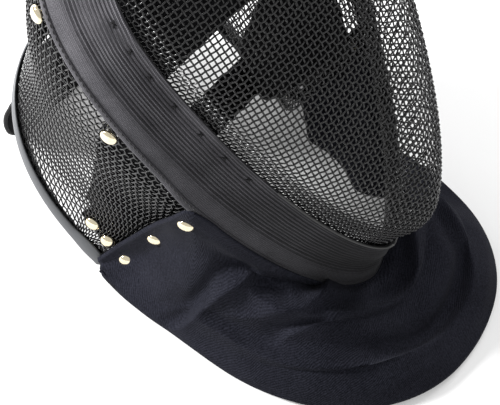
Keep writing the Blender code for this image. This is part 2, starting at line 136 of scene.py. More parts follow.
def blended(points, others, share):
    """Points moved towards others, each by its share of the way."""
    return points + share[..., None] * (others - points)


def eased(points, reach, loop=False):
    """Points evened out with those up to reach places before and after them."""
    weights = np.cos(np.linspace(-0.5, 0.5, 2 * reach + 3)[1:-1] * math.pi) ** 2
    before, after = points[-reach - 1:-1], points[1:reach + 1]
    if not loop:
        before, after = 2 * points[:1] - after[::-1], 2 * points[-1:] - before[::-1]
    padded = np.concatenate((before, points, after))
    return sum(w * padded[k:k + len(points)] for k, w in enumerate(weights / weights.sum()))


def sheet_normals(points):
    """Directions square to a sheet of points, on the side of its rows' right hand."""
    return unit(np.cross(np.gradient(points, axis=0), np.gradient(points, axis=1)))


def wall(turn, along):
    """Points of the cage's wall: turn is 0 at the crown, 1 at the jaw and 2 at the chin."""
    turn, along = np.broadcast_arrays(turn, along)
    (depth, tilt, half_width, widest, crown, chin, top_power, low_power,
     jaw) = np.moveaxis(smooth_curve(OUTLINES[:, 0], OUTLINES[:, 1:], along), -1, 0)
    jaw_angle = math.pi - np.arccos(((widest - jaw) / (widest - chin)) ** (low_power / 2))
    reach = np.abs(turn)
    angle = np.interp(reach, (0.0, 0.5), (0.0, math.pi / 2))
    angle = angle + np.clip(reach - 0.5, 0.0, 0.5) * 2 * (jaw_angle - math.pi / 2)
    angle = angle + np.clip(reach - 1.0, 0.0, 1.0) * (math.pi - jaw_angle)
    low = angle > math.pi / 2
    power = np.where(low, low_power, top_power)
    tall = np.where(low, chin - widest, crown - widest)
    side = half_width * np.clip(np.sin(angle), 0.0, 1.0) ** (2 / power)
    up = widest + tall * np.abs(np.cos(angle)) ** (2 / power)
    return np.stack((np.copysign(side, turn), up, depth + tilt * up), -1)


def outward(turn, along):
    """Outward directions of the cage's wall."""
    step = 0.004
    around = (wall(np.minimum(turn + step, CHIN), along)
              - wall(np.maximum(turn - step, -CHIN), along))
    ahead = wall(turn, np.minimum(1.0, along + step)) - wall(turn, np.maximum(0.0, along - step))
    normal = np.cross(around, ahead)
    away = wall(turn, along) - CAGE_MIDDLE
    return unit(normal * np.sign(np.sum(normal * away, -1, keepdims=True)))


def wall_at(turn, along, offset):
    """Points of the wall, moved outward by offset."""
    return wall(turn, along) + np.asarray(offset)[..., None] * outward(turn, along)


def dome_ring(turns, spread, rise, shift, tuck):
    """Points of the face dome on one ring ahead of the seam."""
    edge = wall(turns, 1.0)
    _, depth, tilt, half_width, _, _, chin_up, _, _, _ = OUTLINES[-1]
    centre = np.array((0.0, FACE_CENTRE_UP, depth + tilt * FACE_CENTRE_UP))
    out = spread * (edge - centre) / (half_width, FACE_CENTRE_UP - chin_up, 1.0)
    lift = rise * (1 + FACE_SKEW * out[..., :1] - FACE_DROOP * out[..., 1:2])
    chin = np.clip(-out[..., 1:2], 0.0, 1.0) ** 4
    return (centre + spread * (edge - centre) + lift * FACE_AHEAD + (shift, 0.0, 0.0)
            + tuck * chin * (0.0, 1.0, 0.0))


def lengths(points, axis=0):
    """Length run so far along lines of points."""
    steps = np.linalg.norm(np.diff(points, axis=axis), axis=-1)
    return np.insert(np.cumsum(steps, axis=axis), 0, 0.0, axis=axis)


def even_turns(first, last, count, along):
    """Turns spaced evenly by length round an outline."""
    fine = np.linspace(first, last, 4000)
    run = lengths(wall(fine, along))
    return np.interp(np.linspace(0.0, run[-1], count), run, fine)


def turns_all_round(count, along):
    """Column of turns once round an outline, the chin given once."""
    turns = even_turns(-2.0, 2.0, count, along)[:-1, None]
    turns[0] = -CHIN
    return turns


TURN_TABLE, ALONG_TABLE = np.meshgrid(np.linspace(0.1, 1.95, 500), np.linspace(0.0, 1.0, 400))
WALL_TABLE = wall(TURN_TABLE, ALONG_TABLE)


def locate(up, depth):
    """Turn and along of the wall at this height and depth, on the wearer's left."""
    miss = (WALL_TABLE[..., 1] - up) ** 2 + (WALL_TABLE[..., 2] - depth) ** 2
    best = np.unravel_index(np.argmin(miss), miss.shape)
    turn, along = TURN_TABLE[best], ALONG_TABLE[best]
    nudge, most_along = 1e-4, 0.9995
    for _ in range(3):
        here = wall(turn, along)[1:]
        slopes = [(wall(*near)[1:] - here) / nudge
                  for near in ((turn + nudge, along), (turn, along + nudge))]
        step = np.linalg.solve(np.stack(slopes, -1), (up, depth) - here)
        turn, along = turn + step[0], min(most_along, max(0.0, along + step[1]))
    return turn, along


# -------- mesh builders
def add_object(name, data):
    obj = bpy.data.objects.new(name, data)
    bpy.context.scene.collection.objects.link(obj)
    return obj


def new_mesh(name, verts, faces, uvs=None):
    """Object from world points and faces; uvs is a place on the cloth for each point."""
    mesh = bpy.data.meshes.new(name)
    mesh.from_pydata(np.asarray(verts, float).tolist(), [], faces)
    if uvs is not None:
        layer = mesh.uv_layers.new(name="cloth")
        corner = np.zeros(len(mesh.loops), np.int32)
        mesh.loops.foreach_get("vertex_index", corner)
        layer.data.foreach_set("uv", np.asarray(uvs, np.float32)[corner].ravel())
    mesh.shade_smooth()
    return add_object(name, mesh)


def grid_faces(rows, columns, close_rows=False, close_columns=False, first=0):
    """Quads of a grid of points, counted row by row."""
    r = np.arange(rows - 1 + close_rows)[:, None]
    c = np.arange(columns - 1 + close_columns)[None, :]
    corners = [(r + down) % rows * columns + (c + across) % columns + first
               for down, across in ((0, 0), (0, 1), (1, 1), (1, 0))]
    return np.stack(corners, -1).reshape(-1, 4).tolist()


def body_faces(rows, columns, ring, first=0):
    """Faces over rows of closed sections, joined to a ring or capped at both ends."""
    faces = grid_faces(rows, columns, ring, True, first)
    if not ring:
        last = first + (rows - 1) * columns
        faces += [list(range(first, first + columns))[::-1], list(range(last, last + columns))]
    return faces


def body(name, points, ring=False, place=cage_to_world):
    """Body over rows of closed sections, with its lengths as the cloth's places."""
    uvs = np.stack((lengths(points, 0), lengths(points, 1)), -1)
    return new_mesh(name, place(points).reshape(-1, 3), body_faces(*points.shape[:2], ring),
                    uvs.reshape(-1, 2))


def full_turn(count):
    """Angles of a circle's points, as a column."""
    return np.linspace(0.0, 2 * math.pi, count, endpoint=False)[:, None]


def tubes(name, runs, radius, sides, ring=False, place=cage_to_world):
    """Round threads of one radius along many lines, each (points, side directions)."""
    angles = full_turn(sides)
    verts, faces, first = [], [], 0
    for points, normals in runs:
        tangent = unit(np.gradient(points, axis=0))
        across = unit(np.cross(tangent, normals))
        over = np.cross(across, tangent)
        rounds = points[:, None] + radius * (np.cos(angles) * over[:, None]
                                             + np.sin(angles) * across[:, None])
        verts.append(rounds.reshape(-1, 3))
        faces += body_faces(len(points), sides, ring, first)
        first += len(points) * sides
    return new_mesh(name, place(np.concatenate(verts)), faces)


def dress(obj, material, slot, *nodes):
    """Gives a piece its material and its body, and hides the CAD parts it stands for."""
    obj.data.materials.append(material)
    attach(obj, "root")
    if nodes:
        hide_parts(*nodes)


# -------- materials
def set_inputs(made, node, inputs):
    """Links each given socket to a node's input, or sets the given value there."""
    for key, value in inputs.items():
        if isinstance(value, bpy.types.NodeSocket):
            made.node_tree.links.new(value, node.inputs[key])
        else:
            node.inputs[key].default_value = value


def to_shader(made, **inputs):
    """The same for the shader's inputs, with _ for a space."""
    set_inputs(made, made.node_tree.nodes["Principled BSDF"],
               {key.replace("_", " "): value for key, value in inputs.items()})


def new_material(name, colour, roughness, **inputs):
    made = bpy.data.materials.new(name)
    made.use_nodes = True
    to_shader(made, Base_Color=(*colour, 1.0), Roughness=roughness, **inputs)
    return made


def add_node(made, kind, inputs, **settings):
    node = made.node_tree.nodes.new("ShaderNode" + kind)
    for key, value in settings.items():
        setattr(node, key, value)
    set_inputs(made, node, inputs)
    return node


def cloth_place(made):
    """Place on the cloth, in millimetres along it and across it."""
    return add_node(made, "UVMap", {}, uv_map="cloth").outputs[0]


def object_place(made):
    return add_node(made, "TexCoord", {}).outputs["Object"]


def noise(made, place, scale, detail=3.0):
    inputs = {"Vector": place, "Scale": scale, "Detail": detail, "Roughness": 0.6}
    return add_node(made, "TexNoise", inputs).outputs["Fac"]


def stripes(made, place, scale, direction, distortion=0.0):
    """Waves along one direction of the cloth, 3.18 times scale of them to a millimetre."""
    return add_node(made, "TexWave", {"Vector": place, "Scale": scale, "Distortion": distortion,
                                      "Detail": 1.0}, bands_direction=direction).outputs["Fac"]


def part_of(made, place, axis):
    return add_node(made, "SeparateXYZ", {"Vector": place}).outputs[axis]


def map_range(made, value, low, high, start=0.0, end=1.0):
    """A value between start and end, mapped to between low and high."""
    return add_node(made, "MapRange", {"Value": value, "From Min": start, "From Max": end,
                                       "To Min": low, "To Max": high}).outputs[0]


def combined(made, kind, first, second):
    return add_node(made, "Math", {0: first, 1: second}, operation=kind).outputs[0]


def weighted_sum(made, *parts):
    """Sum of values, each with its weight."""
    total = 0.0
    for value, weight in parts:
        total = combined(made, "ADD", total, combined(made, "MULTIPLY", value, weight))
    return total


def colour_ramp(made, value, *stops):
    """Colours by value; each stop is a place and a colour."""
    ramp = add_node(made, "ValToRGB", {"Fac": value})
    while len(ramp.color_ramp.elements) < len(stops):
        ramp.color_ramp.elements.new(0.5)
    for element, (at, colour) in zip(ramp.color_ramp.elements, stops):
        element.position = at
        element.color = (*colour, 1.0)
    return ramp.outputs["Color"]


def bump(made, height, distance, strength, under=None):
    inputs = {"Height": height, "Distance": distance, "Strength": strength}
    if under is not None:
        inputs["Normal"] = under
    return add_node(made, "Bump", inputs).outputs["Normal"]


def grained(name, colour, roughness, grain, marks=None, shades=None, **inputs):
    """Material with a fine grain, given by its scale, depth and strength. Marks, given by
    their scale, detail and lowest and highest roughness, can also have shades of colour."""
    made = new_material(name, colour, roughness, **inputs)
    place = object_place(made)
    scale, depth, strength = grain
    to_shader(made, Normal=bump(made, noise(made, place, scale), depth, strength))
    if marks:
        scale, detail, low, high = marks
        marked = noise(made, place, scale, detail)
        to_shader(made, Roughness=map_range(made, marked, low, high))
        if shades:
            to_shader(made, Base_Color=colour_ramp(made, marked, *shades))
    return made


def thread(name, colour):
    return grained(name, colour, 0.7, (3000.0, 0.0002, 0.5), Specular_IOR_Level=0.2,
                   Sheen_Weight=0.03)


WEAVE_SCALE = 0.30
GROOVE_SHADE_SCALE = 0.137
RIBS_FROM = (12.0, 16.0)  # millimetres across the webbing where its ribs, and the painted shade in their grooves, set in
PAINTED_LIGHT_HEIGHTS = (0.06, 0.24)  # metres over the floor, between which painted light makes the webbing paler upwards


def band_webbing():
    """Grey webbing: a fine plain weave, ribbed ahead of its flat rear third, with painted shade
    in its rib grooves and painted light that makes it paler on top.
    """
    made = new_material("band_webbing", (0.06, 0.06, 0.06), 0.8, Specular_IOR_Level=0.15,
                        Sheen_Weight=0.03, Sheen_Roughness=0.5)
    place = cloth_place(made)
    weave_height = combined(made, "MULTIPLY", stripes(made, place, WEAVE_SCALE, "X"),
                            stripes(made, place, WEAVE_SCALE, "Y"))
    fibres = noise(made, place, 1.3, 4.0)
    worn = noise(made, object_place(made), 28.0)
    ribbed = map_range(made, part_of(made, place, "Y"), 0.0, 0.34, *RIBS_FROM)
    # painted shade: darker colour stripes along the rib grooves of the ribbed part
    painted_groove_shade = combined(made, "MULTIPLY", stripes(made, place, GROOVE_SHADE_SCALE, "Y", 0.8), ribbed)
    # painted light: the colour gets paler with height over the floor, lighter on top and darker
    # towards the chin
    tone_shift = map_range(made, part_of(made, object_place(made), "Z"), -0.22, 0.15, *PAINTED_LIGHT_HEIGHTS)
    shade = weighted_sum(made, (fibres, 0.45), (weave_height, 0.25), (worn, 0.5),
                         (painted_groove_shade, -1.0), (tone_shift, 1.0))
    to_shader(made,
              Base_Color=colour_ramp(made, shade, (0.15, (0.009, 0.009, 0.010)),
                                     (0.5, (0.050, 0.049, 0.055)),
                                     (0.9, (0.180, 0.174, 0.190))),
              Normal=bump(made, weave_height, 0.0004, 0.6, bump(made, fibres, 0.0004, 0.35)))
    return made


TWILL_SCALE = 0.21
TWILL_ANGLE = 0.9


def bib_twill(name, low, high):
    """Blue-black padded cloth with a fine diagonal rib, lint and faint fading."""
    made = new_material(name, low, 0.9, Specular_IOR_Level=0.04, Sheen_Weight=0.012,
                        Sheen_Roughness=0.6)
    leaning = add_node(made, "Mapping", {"Vector": cloth_place(made),
                                         "Rotation": (0.0, 0.0, TWILL_ANGLE)})
    rib = stripes(made, leaning.outputs[0], TWILL_SCALE, "X", 0.6)
    place = object_place(made)
    fibres = noise(made, place, 950.0, 4.0)
    tone_shift = noise(made, place, 22.0)
    lint = add_node(made, "TexVoronoi", {"Vector": place, "Scale": 260.0}).outputs["Distance"]
    specks = map_range(made, lint, 0.3, 0.0, 0.05, 0.10)
    shade = weighted_sum(made, (tone_shift, 0.3), (fibres, 0.8), (rib, 0.12), (specks, 1.0))
    to_shader(made, Base_Color=colour_ramp(made, shade, (0.46, low), (0.86, high)),
              Normal=bump(made, rib, 0.0003, 0.5, bump(made, fibres, 0.0004, 0.5)))
    return made


# -------- woven wires
WIRE_PITCH = 3.1
WIRE_RADIUS = 0.5
WIRE_CRIMP = 0.5  # how far each wire bends over and under its neighbours
SIDE_LOOSE = 1.8  # wider spacing of the side mesh's cross wires
SIDE_LEAN = 0.30  # slope of its long wires from the rim to the webbing
SIDE_LEAN_AROUND = 60.0  # most of it is reached this far from the crown
CROSS_LEAN = 0.35  # slope of its cross wires from the crown to the jaw
CROSS_LEAN_AROUND = 40.0
WIRE_SIDES = 5
SHORTEST_WIRE = 3  # crossings
FACING_REACH = 14  # places over which the face's outward directions are evened out


def crossings(points, normals, cloth):
    """Where the wires cross: points and normals of the pitch's lattice on the cloth."""
    quads = np.array(grid_faces(*points.shape[:2]))
    corners = np.concatenate((quads[:, (0, 1, 2)], quads[:, (0, 2, 3)]))
    flat = cloth.reshape(-1, 2)[corners] / WIRE_PITCH
    least_area, slack = 1e-12, 1e-7
    found = {}
    a, b, c = flat.swapaxes(0, 1)
    for step in product((0, 1), repeat=2):
        knot = np.ceil(flat.min(1)) + step
        area = np.cross(b - a, c - a)
        area = np.where(np.abs(area) < least_area, least_area, area)
        share_b = np.cross(knot - a, c - a) / area
        share_c = np.cross(b - a, knot - a) / area
        shares = np.stack((1 - share_b - share_c, share_b, share_c), -1)
        for k in np.flatnonzero(shares.min(1) > -slack):
            found[tuple(knot[k].astype(int))] = (corners[k], shares[k])
    keys = np.array(sorted(found))
    low = keys.min(0)
    size = keys.max(0) - low + 1
    lattice = np.full((*size, 6), np.nan)
    both = np.concatenate((points, normals), -1).reshape(-1, 6)
    for key in keys:
        trio, share = found[tuple(key)]
        lattice[tuple(key - low)] = share @ both[trio]
    return lattice


def wire_runs(lattice, over_first):
    """Lines of crimped wire along the lattice's second axis."""
    runs = []
    for i, row in enumerate(lattice):
        there = ~np.isnan(row[:, 0])
        edges = np.flatnonzero(np.diff(there, prepend=False, append=False))
        for start, end in zip(edges[::2], edges[1::2]):
            if end - start < SHORTEST_WIRE:
                continue
            knots = row[start:end]
            over = np.where((np.arange(start, end) + i) % 2 == over_first, 1.0, -1.0)
            run = np.repeat(knots, 2, 0)[:-1]
            run[1::2] = (knots[1:] + knots[:-1]) / 2
            run[::2, :3] += WIRE_CRIMP * over[:, None] * knots[:, 3:]
            runs.append((run[:, :3], run[:, 3:]))
    return runs


def weave(name, points, cloth, material):
    """The two families of wires of one mesh; the first stands for the CAD node."""
    lattice = crossings(points, -sheet_normals(points), cloth)
    for way, grid_of_way, over_first, nodes in (
            ("_cross_wires", lattice, 0, [name + "_mesh"]),
            ("_long_wires", lattice.transpose(1, 0, 2), 1, [])):
        wires = tubes(name + way, wire_runs(grid_of_way, over_first), WIRE_RADIUS, WIRE_SIDES)
        dress(wires, material, "black_wire", *nodes)


def make_side_wires(material):
    turns = even_turns(-1.0, 1.0, 260, 0.5)
    points = wall(turns, np.linspace(0.0, SIDE_MESH_FRONT, 64)[:, None])
    around = lengths(wall(turns, 0.5))
    around -= around[-1] / 2
    back = lengths(points[::-1])[::-1]
    lean = SIDE_LEAN * np.tanh(around / SIDE_LEAN_AROUND)
    cross = CROSS_LEAN * np.hypot(around, CROSS_LEAN_AROUND)
    cloth = np.stack((around + lean * back, (back - cross) / SIDE_LOOSE), -1)
    weave("side", points, cloth, material)


def face_facing(turns):
    """Outward directions over the face at each turn, evened out round it."""
    seam = wall(turns, BAND_FRONT)[:, :2]
    slopes = np.gradient(seam, axis=0)
    facing = np.stack((-slopes[:, 1], slopes[:, 0]), -1)
    facing[0] = facing[-1] = facing[1] + facing[-2]
    facing = unit(eased(facing, FACING_REACH, loop=True))
    away = seam - (0.0, FACE_CENTRE_UP)
    return facing * np.sign(np.sum(facing * away, axis=1, keepdims=True))


def make_face_wires(material):
    """Wires of the dome, from under the webbing to its middle, laid out flat from there."""
    turns = even_turns(-2.0, 2.0, 321, 0.95)
    turns[0], turns[-1] = -CHIN, CHIN
    rows = [wall(turns, along) for along in (FACE_MESH_BACK, 0.95, BAND_FRONT)]
    rows = np.array(rows + [dome_ring(turns, *ring) for ring in FACE_RINGS])
    places = np.mean(lengths(rows), axis=1)
    points = smooth_curve(places, rows, np.linspace(0.0, places[-1], 90))
    steps = np.diff(points[::-1], axis=0)
    flat = steps[..., :2]
    extra = np.linalg.norm(steps, axis=-1) - np.linalg.norm(flat, axis=-1)
    flat = flat + extra[..., None] * face_facing(turns)
    cloth = np.cumsum(np.concatenate((points[-1:, :, :2], flat)), 0)
    weave("face", points, cloth[::-1], material)


# -------- webbing and trim
BAND_TOP = 0.8  # its face over its middle
BAND_RIBS = 17
BAND_LIFT = 2.8  # its rear edge rises this much over the bib
LIFT_TURNS = (0.80, 0.92)  # between which that rise sets in, on the way to the chin
LIFT_SHARES = (-0.05, 0.45)  # and across the webbing, where it is full and where it ends
TAPE_WIDTHS = (3.0, 6.5)  # at the crown and at the chin
TAPE_TURNS = (0.4, 1.5)  # between which it widens
BAND_OVER = 1.13  # share of its width where it ends on the dome
BAND_WIDTH = 36.0
LACING_TURNS = (0.36, 0.47, 0.55, 0.635, 0.72, 0.80, 0.87, 0.94)
LACING_SHARE = LACING_ALONG = 0.95
LACING_RADIUS = 0.35
LACING_REACH = (0.006, 0.035)  # turn and share to each side of its place
LACING_RISE = (0.35, 0.6)  # over the face, and down from there at the ends
HOLE_SIZE = (0.012, 0.07)
HOLE_DEPTH = 0.55
PIPING_START = 1.0  # turn from which the front edge has its cord
PIPING_ALONG = 0.99
PIPING_RADIUS = 0.6
# height, share at its middle and width of each swelling across the webbing, and of its crease
BAND_SWELLS = ((0.45, 0.80, 0.20), (0.2, 0.22, 0.18))
BAND_CREASE = (0.9, 0.50, 0.13)
CREASE_SWAY = 0.03
RIB_HEIGHT = 0.15
RIB_SHARES = (0.36, 0.44)  # across the webbing, where its ribs set in
PUCKER = (0.16, 0.6, 0.2)  # like a swelling
PUCKER_WAVES = (37.0, 9.0)  # round the mask and across the webbing
# share of the tape's width, and height over the webbing, round its section
TAPE_SECTION = np.array([(-0.5, 0.2), (-0.48, 0.75), (-0.2, 1.05), (0.2, 1.05), (0.48, 0.75),
                         (0.5, 0.2), (0.2, 0.1), (-0.2, 0.1)])
TAPE_SHARE = 0.03  # its middle, across the webbing
TAPE_STITCH = (0.28, 1.1)  # share of its width and height of the stitches
STITCH_RADIUS = 0.24
STITCH_LENGTH = 2.3
STITCH_GAP = 1.1
STITCH_RISE = np.array([(-0.35,), (0.12,), (0.12,), (-0.35,)])


def band_relief(turn, share):
    """Height of the webbing's face: ribs, a long crease, slight puckers and lacing holes."""
    depth, crease_share, width = BAND_CREASE
    crease = depth * bell(share - crease_share - CREASE_SWAY * np.sin(5.0 * turn), width)
    swell = sum(rise * bell(share - at, wide) for rise, at, wide in BAND_SWELLS)
    ribs = RIB_HEIGHT * np.cos(2 * math.pi * BAND_RIBS * share) * smooth_step(*RIB_SHARES, share)
    rise, at, wide = PUCKER
    pucker = rise * bell(share - at, wide) * np.sin(PUCKER_WAVES[0] * turn
                                                    + PUCKER_WAVES[1] * share)
    holes = sum(bell(np.abs(turn) - at, HOLE_SIZE[0]) for at in LACING_TURNS)
    holes = HOLE_DEPTH * holes * bell(share - LACING_SHARE, HOLE_SIZE[1])
    return BAND_TOP + swell - crease + ribs + pucker - holes


def band_point(turn, share, height):
    """Point over the webbing: share across it, height over its middle surface."""
    turn, share = np.broadcast_arrays(turn, share)
    lift = BAND_LIFT * smooth_step(*LIFT_TURNS, np.abs(turn)) * (
        1 - smooth_step(*LIFT_SHARES, share))
    along = np.minimum(1.0, BAND_BACK + share * (BAND_FRONT - BAND_BACK))
    climb = unit(dome_ring(turn, *FACE_RINGS[0]) - wall(turn, 1.0))
    over = BAND_WIDTH * np.maximum(0.0, share - 1.0)[..., None] * climb
    return wall_at(turn, along, BAND_OFFSET + lift + height) + over


def make_band(material):
    turns = turns_all_round(421, 0.9)
    across = np.linspace(0.0, BAND_OVER, 72)
    face = band_point(turns, across, band_relief(turns, across))
    inside = band_point(turns, np.linspace(BAND_OVER, 0.0, 8), -BAND_TOP)
    band = body("webbing_band", np.concatenate((face, inside), 1), ring=True)
    dress(band, material, "webbing", "seam_band")


def make_tape(material, yarn):
    """Stitched tape over the webbing's rear edge, wider towards the chin."""
    turns = turns_all_round(361, 0.8)
    chin_share = smooth_step(*TAPE_TURNS, np.abs(turns))
    width = (TAPE_WIDTHS[0] + (TAPE_WIDTHS[1] - TAPE_WIDTHS[0]) * chin_share) / BAND_WIDTH
    points = band_point(turns, TAPE_SHARE + TAPE_SECTION[:, 0] * width,
                        BAND_TOP + TAPE_SECTION[:, 1])
    dress(body("edge_tape", points, ring=True), material, "webbing")
    line = band_point(turns[:, 0], TAPE_SHARE + TAPE_STITCH[0] * width[:, 0],
                      BAND_TOP + TAPE_STITCH[1])
    dress(stitches("tape_stitches", line, outward(turns[:, 0], BAND_BACK)), yarn, "webbing")


def stitches(name, line, normals, place=cage_to_world):
    """Row of short threads that dip into the cloth at both ends."""
    run = lengths(line)
    runs = []
    for start in np.arange(STITCH_GAP, run[-1] - STITCH_LENGTH, STITCH_LENGTH + STITCH_GAP):
        at = start + STITCH_LENGTH * np.linspace(0.0, 1.0, len(STITCH_RISE))
        points, sides = (np.stack([np.interp(at, run, values[:, k]) for k in range(3)], -1)
                         for values in (line, normals))
        runs.append((points + sides * STITCH_RISE, sides))
    return tubes(name, runs, STITCH_RADIUS, 5, place=place)


def make_piping(material):
    """Thin cord along the webbing's front edge, round the chin."""
    runs = []
    for sign in (-1.0, 1.0):
        turns = sign * even_turns(PIPING_START, CHIN, 90, PIPING_ALONG)
        runs.append((band_point(turns, BAND_OVER, BAND_TOP), outward(turns, PIPING_ALONG)))
    dress(tubes("front_piping", runs, PIPING_RADIUS, 8), material, "webbing")


def make_lacing(material):
    """Dark crossed threads through the webbing, near its front edge."""
    steps = np.linspace(-1.0, 1.0, 5)
    share = LACING_SHARE + LACING_REACH[1] * steps
    rise = LACING_RISE[0] - LACING_RISE[1] * steps ** 4
    runs = []
    for sign, turn, lean in product((-1.0, 1.0), LACING_TURNS, (-1.0, 1.0)):
        at = sign * (turn + lean * LACING_REACH[0] * steps)
        runs.append((band_point(at, share, band_relief(at, share) + rise),
                     outward(at, LACING_ALONG)))
    dress(tubes("lacing", runs, LACING_RADIUS, 6), material, "webbing")


TRIM_OUTER = 3.6
TRIM_INNER = 2.2
TRIM_DEEP = 8.0  # its outer leg
TRIM_INNER_DEEP = 2.5
TRIM_END = 1.01


def make_trim(material):
    """Vinyl channel round the edge of the rear opening."""
    turns = even_turns(-TRIM_END, TRIM_END, 160, 0.0)
    edge = wall(turns, 0.0)
    out = outward(turns, 0.0)
    inward = unit(wall(turns, 0.05) - edge)
    angles = np.linspace(0.0, math.pi, 13)
    section = [(TRIM_DEEP, TRIM_OUTER - 0.9), (TRIM_DEEP - 0.4, TRIM_OUTER - 0.2)]
    section += [(-TRIM_OUTER * math.sin(a), TRIM_OUTER * math.cos(a)) for a in angles]
    section += [(TRIM_INNER_DEEP, 0.2 - TRIM_OUTER), (TRIM_INNER_DEEP + 0.3, -TRIM_INNER)]
    section += [(-TRIM_INNER * math.sin(a), -TRIM_INNER * math.cos(a)) for a in angles[::2]]
    section += [(TRIM_DEEP, TRIM_INNER)]
    deep, high = np.array(section).T
    points = edge[:, None] + deep[:, None] * inward[:, None] + high[:, None] * out[:, None]
    dress(body("trim_channel", points), material, "vinyl", "rim_trim")


# -------- bib
# front run, front rise, side run and side rise of each line down the bib
BIB_FOLDS = np.array([
    (0.0, 1.0, 0.0, 1.0), (0.14, 1.12, 0.2, 0.8), (0.25, 0.96, 0.38, 0.58),
    (0.33, 0.82, 0.48, 0.42), (0.45, 0.78, 0.6, 0.3), (0.6, 0.62, 0.72, 0.2),
    (0.7, 0.38, 0.8, 0.14), (0.84, 0.33, 0.91, 0.1), (1.0, 0.0, 1.0, 0.0),
])
BIB_ACROSS = 520.0  # its usual length round the mask
BIB_DOWN = 100.0  # and from its top edge to its hem
BIB_CORNER = (0.17, 0.08)  # column at the front rivet, and how far that corner reaches
HEM_EDGE = 2.2
TOP_EDGE_REAR = np.array((23.0, 2.5))
TOP_EDGE_FRONT_UP = 57.0
BIB_BACK_OF_BAND = 0.764
BIB_UNDER_BAND = 0.80  # where its top edge hides under the webbing
EDGE_OVERLAP = 19.0
OVERLAP_MOST = 0.85  # of its edge's height over the floor
OVERLAP_REAR = 0.3  # share of it at the rear corner
OVERLAP_FULL = 0.35  # share of the way to the front rivet where it is all there
FRONT_SHARES = (0.1, 0.75)  # of the way from there to the chin, where the folds change
OVERLAP_STEPS = np.array((0.0, 0.3, 0.65, 1.0))
HANG_INSET = 0.2
CHIN_ROLL = (5.0, 1.5)
HEM_REAR = np.array((92.5, 4.0))  # side and forward
HEM_TURN = np.array((96.5, 62.0))
HEM_SIDE_BULGE = 2.5
HEM_OVAL_FORWARD = 95.0
HEM_NOSE = 113.0
HEM_POWER = {-1.0: 2.05, 1.0: 2.35}
BIB_THICK = 3.6
HEM_THICK = 4.6
TOP_THICK = 1.3  # where the bib slips under the webbing
BIB_SINK = 2.7  # and how much lower it lies there
EDGE_ROUND = 0.45  # share of its thickness by which a sheet's edge stands out
SIDE_COLUMNS = 6
FRONT_COLUMNS = 12
# How the bib is evened out: the places over which, and the rows between which it sets in
# and lets up, across the bib, round its front corners and down it.
EASE_ACROSS, ACROSS_ROWS = 14, (0.10, 0.35, 0.9, 1.0)
EASE_CORNER, CORNER_ROWS = 28, (0.06, 0.25, 0.85, 1.0)
EASE_DOWN, DOWN_ROWS = 16, (0.02, 0.16, 0.9, 1.0)
DOWN_COLUMNS, DOWN_LESS = (0.16, 0.34), 0.8  # less so from the side to the front
EASE_HANG, HANG_ROWS = 4, (1.0, 0.94)
CREASE_ROWS = (0.04, 0.20, 0.93, 1.0)
TUCK_SMOOTH = 0.8  # share of its creases that the hanging side loses
UNDER_ROWS, UNDER_COLUMNS = (0.04, 0.22), (0.13, 0.18)  # of the part under the webbing
HEM_ROWS = (0.9, 0.98)
VALLEY_FALL = (1.3, 0.35)  # of the upper and of the lower cloth beside a crease
BROW_PLACE, BROW_WIDTH = 2.6, 2.2  # in widths of the crease
STITCH_ROW = 8
CREASE_STEPS = 30  # to each place of a crease
# The far side of the bib hangs down and in below the cage before it runs out to the hem.
TUCK_COLUMNS = (0.63, 0.71, 0.88, 0.96)
TUCK_ROW = 0.24
# way down from that row, share of the way out to the hem, inset, share of the height at
# that row and height over the floor
TUCK_LINE = np.array([
    (0.0, 0.0, 0.0, 1.0, 0.0), (0.25, 0.0, 1.8, 0.66, 0.0), (0.45, 0.0, 7.65, 0.25, 2.0),
    (0.55, 0.0, 9.0, 0.0, 3.2), (0.62, 0.05, 6.3, 0.0, 2.8), (0.75, 0.4, 0.0, 0.0, 6.5),
    (0.88, 0.78, 0.0, 0.0, 4.2), (1.0, 1.0, 0.0, 0.0, 2.3),
])


def hem_side(share):
    side, forward = HEM_REAR + share * (HEM_TURN - HEM_REAR)
    return side + HEM_SIDE_BULGE * math.sin(math.pi * share), forward


def hem_front(share, sign):
    angles = np.linspace(0.0, math.pi / 2, 91)
    power = 2 / HEM_POWER[sign]
    side = HEM_TURN[0] * np.clip(np.cos(angles), 0.0, 1.0) ** power
    forward = HEM_OVAL_FORWARD + HEM_NOSE * np.sin(angles) ** power
    line = np.concatenate(([HEM_TURN], np.stack((side, forward), -1)))
    run = lengths(line)
    return [np.interp(share * run[-1], run, values) for values in line.T]


def bib_column(overlap, hem, frontness):
    """Points down the bib over the floor: the overlap on the cage, the folds and the hem."""
    values = BIB_FOLDS[:, :2] * frontness + BIB_FOLDS[:, 2:] * (1 - frontness)
    end = overlap[-1]
    at = np.linspace(0.0, 1.0, 12)[1:]
    run, rise = smooth_curve(np.linspace(0.0, 1.0, len(BIB_FOLDS)), values, at).T
    low = np.stack((end[0] + run * (hem[0] - end[0]), end[1] + run * (hem[1] - end[1]),
                    HEM_EDGE + rise * (end[2] - HEM_EDGE)), -1)
    return np.concatenate((overlap, low))


